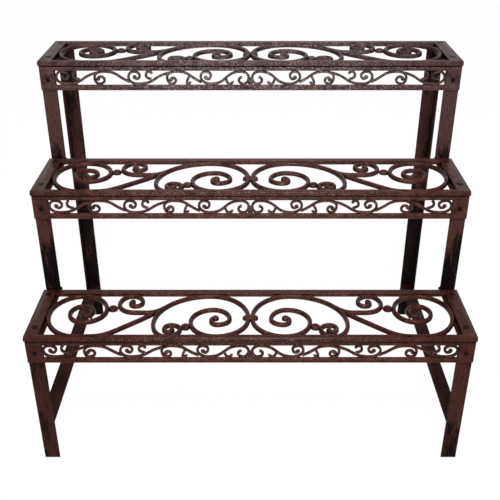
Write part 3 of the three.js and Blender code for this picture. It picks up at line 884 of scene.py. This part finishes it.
# The angle iron keeps its own shape, with its arrises eased. The left front leg is the darkest one.
IRON_PAINTS = {
    "front_leg": LEG_PAINT,
    "middle_post": MIDDLE_PAINT,
    "upper_post": UPPER_PAINT,
    "rear_leg": REAR_PAINT,
    "bottom_rail": RAIL_PAINT,
    "middle_rail": RAIL_PAINT,
    "top_rail": RAIL_PAINT,
    "low_rail": RAIL_PAINT,
}
for side, _ in SIDES:
    for name, paint in IRON_PAINTS.items():
        bar = bpy.data.objects[f"{side}_{name}"]
        bar.data.materials.clear()
        dark = side == "left" and name == "front_leg"
        bar.data.materials.append(DARK_LEG_PAINT if dark else paint)
        weld = bar.modifiers.new("weld", "WELD")
        weld.merge_threshold = TOUCH * MM
        bevel = bar.modifiers.new("bevel", "BEVEL")
        bevel.width = IRON_EDGE * MM
        bevel.segments = 2
        bevel.limit_method = "ANGLE"
        bevel.angle_limit = math.radians(50)


# ---------------------------------------------------------------- welds

def add_weld(bm, start, end, seed, radius=WELD_RADIUS):
    """A rippled bead of weld from start to end, which are in metres."""
    chance = random.Random(seed)
    start, end = Vector(start), Vector(end)
    ahead = (end - start).normalized()
    side = ahead.orthogonal().normalized()
    up = ahead.cross(side)
    count = max(LEAST_WELD_STEPS, round((end - start).length / (WELD_STEP * MM)))
    rings = []
    for i in range(count + 1):
        t = i / count
        ripple = 1 + RIPPLE_SHARE * math.sin(i * RIPPLE_TURN) + chance.uniform(-RIPPLE_CHANCE, RIPPLE_CHANCE)
        taper = min(1.0, SWELL_RATE * math.sqrt(max(0.0, min(t, 1 - t))) + SWELL_LEAST)
        ring = []
        for k in range(WELD_SIDES):
            angle = 2 * math.pi * k / WELD_SIDES
            way = side * math.cos(angle) + up * math.sin(angle)
            ring.append(bm.verts.new(start.lerp(end, t) + way * radius * MM * ripple * taper))
        rings.append(ring)
    join_rings(bm, rings)


def side_box(node, sign):
    """The corners of a node's box, and its x on the outer and on the inner side of the stand."""
    low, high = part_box(node)
    return (low, high, low.x, high.x) if sign < 0 else (low, high, high.x, low.x)


def make_welds(side, sign):
    """Beads at the feet of the posts, at the top of the legs and at the low rail, and a scar on the leg."""
    wall = IRON_WALL * MM
    end_gap = sign * WELD_END_GAP * MM
    beads = []
    for post in ("middle_post", "upper_post"):
        low, high, outer, inner = side_box(f"{side}_{post}", sign)
        inside = outer - sign * wall
        front = low.y - WELD_AHEAD * MM
        z = low.z + WELD_OVER * MM
        beads.append(((outer - end_gap, front, z), (inner + sign * WELD_FRONT_GAP * MM, front, z)))
        beads.append(((inside, low.y + wall, z), (inner + end_gap, low.y + wall, z)))
        beads.append(((inside, low.y + wall, z), (inside, high.y - WELD_END_GAP * MM, z)))
    for leg in ("front_leg", "rear_leg"):
        low, high, outer, inner = side_box(f"{side}_{leg}", sign)
        inside = outer - sign * wall
        face = low.y + wall if leg == "front_leg" else high.y - wall
        z = high.z - WELD_IN * MM
        beads.append(((inside - sign * WELD_CORNER_GAP * MM, face, z), (inner + end_gap, face, z)))
    bm = bmesh.new()
    for number, (start, end) in enumerate(beads, 1):
        add_weld(bm, start, end, 10 * number + (sign > 0))

    leg_low, leg_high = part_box(f"{side}_front_leg")
    low, high, outer, inner = side_box(f"{side}_low_rail", sign)
    scar_y = leg_low.y + WELD_IN * MM
    scar_z = high.z - SCAR_DROP * MM
    add_weld(bm, (leg_low.x + WELD_END_GAP * MM, scar_y, scar_z),
             (leg_high.x - WELD_FRONT_GAP * MM, scar_y, scar_z - SCAR_TILT * MM), 7 + (sign > 0), SCAR_RADIUS)
    start_x, end_x = outer - sign * RAIL_WELD_START * MM, inner + sign * RAIL_WELD_END * MM
    for number, y in enumerate((low.y, high.y), len(beads) + 1):
        add_weld(bm, (start_x, y, high.z), (end_x, y, high.z), 10 * number)
    bmesh.ops.recalc_face_normals(bm, faces=bm.faces)
    for face in bm.faces:
        face.smooth = True
    return new_object(f"{side}_welds", bm)


for side, sign in SIDES:
    welds = make_welds(side, sign)
    welds.data.materials.append(LEG_PAINT)
    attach(welds, BODY)


# ---------------------------------------------------------------- floor, light and camera

WHITE = (1, 1, 1, 1)
FLOOR_SIZE = 6.0
FLOOR_GAP = 0.2
FLOOR_COLOUR = (0.9, 0.9, 0.9, 1)
FLOOR_WHITE_SHARE = 0.94
FLOOR_WHITE_STRENGTH = 1.02
WORLD_LIGHT = 0.5
WORLD_SEEN = 1.0


def mix_shaders(tree, share, first, second):
    mix = tree.nodes.new("ShaderNodeMixShader")
    for output, socket in zip((share, first, second), mix.inputs):
        tree.links.new(output, socket)
    return mix.outputs[0]


def glow(tree, kind, strength):
    """A white light of a given strength, as an Emission or as a Background."""
    made = tree.nodes.new(kind)
    made.inputs["Color"].default_value = WHITE
    made.inputs["Strength"].default_value = strength
    return made.outputs[0]


def seen_rays(tree):
    """1 for the rays of the camera, of reflections and of glass."""
    path = tree.nodes.new("ShaderNodeLightPath")
    total = path.outputs["Is Camera Ray"]
    for name in ("Is Glossy Ray", "Is Transmission Ray"):
        both = tree.nodes.new("ShaderNodeMath")
        both.operation = "ADD"
        both.use_clamp = True
        tree.links.new(total, both.inputs[0])
        tree.links.new(path.outputs[name], both.inputs[1])
        total = both.outputs[0]
    return total


def white_where_seen(tree, plain):
    """Mixes plain light with white where the camera or a reflection looks straight at it."""
    share = tree.nodes.new("ShaderNodeMath")
    share.operation = "MULTIPLY"
    tree.links.new(seen_rays(tree), share.inputs[0])
    share.inputs[1].default_value = FLOOR_WHITE_SHARE
    return mix_shaders(tree, share.outputs[0], plain, glow(tree, "ShaderNodeEmission", FLOOR_WHITE_STRENGTH))


floor_mesh = bmesh.new()
bmesh.ops.create_grid(floor_mesh, x_segments=1, y_segments=1, size=FLOOR_SIZE)
floor = new_object("floor", floor_mesh)
floor.location.z = cad_low[2] - FLOOR_GAP * MM
floor_material = bpy.data.materials.new("floor")
floor_material.use_nodes = True
tree = floor_material.node_tree
tree.nodes.clear()
plain = tree.nodes.new("ShaderNodeBsdfDiffuse")
plain.inputs["Color"].default_value = FLOOR_COLOUR
out = tree.nodes.new("ShaderNodeOutputMaterial")
tree.links.new(white_where_seen(tree, plain.outputs[0]), out.inputs["Surface"])
floor.data.materials.append(floor_material)

world = bpy.data.worlds.new("studio")
bpy.context.scene.world = world
world.use_nodes = True
tree = world.node_tree
tree.nodes.clear()
lit = glow(tree, "ShaderNodeBackground", WORLD_LIGHT)
seen = glow(tree, "ShaderNodeBackground", WORLD_SEEN)
out = tree.nodes.new("ShaderNodeOutputWorld")
tree.links.new(mix_shaders(tree, seen_rays(tree), lit, seen), out.inputs["Surface"])


def area_light(name, place, aim, size, power):
    data = bpy.data.lights.new(name, "AREA")
    data.shape = "RECTANGLE"
    data.size, data.size_y = size
    data.energy = power
    lamp = link_object(name, data)
    lamp.location = place
    lamp.rotation_euler = (Vector(aim) - Vector(place)).to_track_quat("-Z", "Y").to_euler()


area_light("key_softbox", (0.05, -1.6, 2.3), (0, 0, 0.35), (0.6, 0.45), 60)
area_light("front_fill", (0.1, -2.5, 1.2), (0, 0, 0.35), (1.0, 0.9), 32)
area_light("top_softbox", (0.2, 0.5, 2.6), (0, 0, 0.3), (2.2, 1.2), 5)

camera_data = bpy.data.cameras.new("camera")
camera_data.sensor_width = 36
camera_data.lens = 54.74
camera_data.shift_x = -0.0008
camera_data.shift_y = 0.0018
camera = link_object("camera", camera_data)
camera.location = (0, -1.195, 0.9482)
camera.rotation_euler = (math.radians(61), 0, 0)
bpy.context.scene.camera = camera
bpy.context.scene.view_settings.view_transform = "Standard"
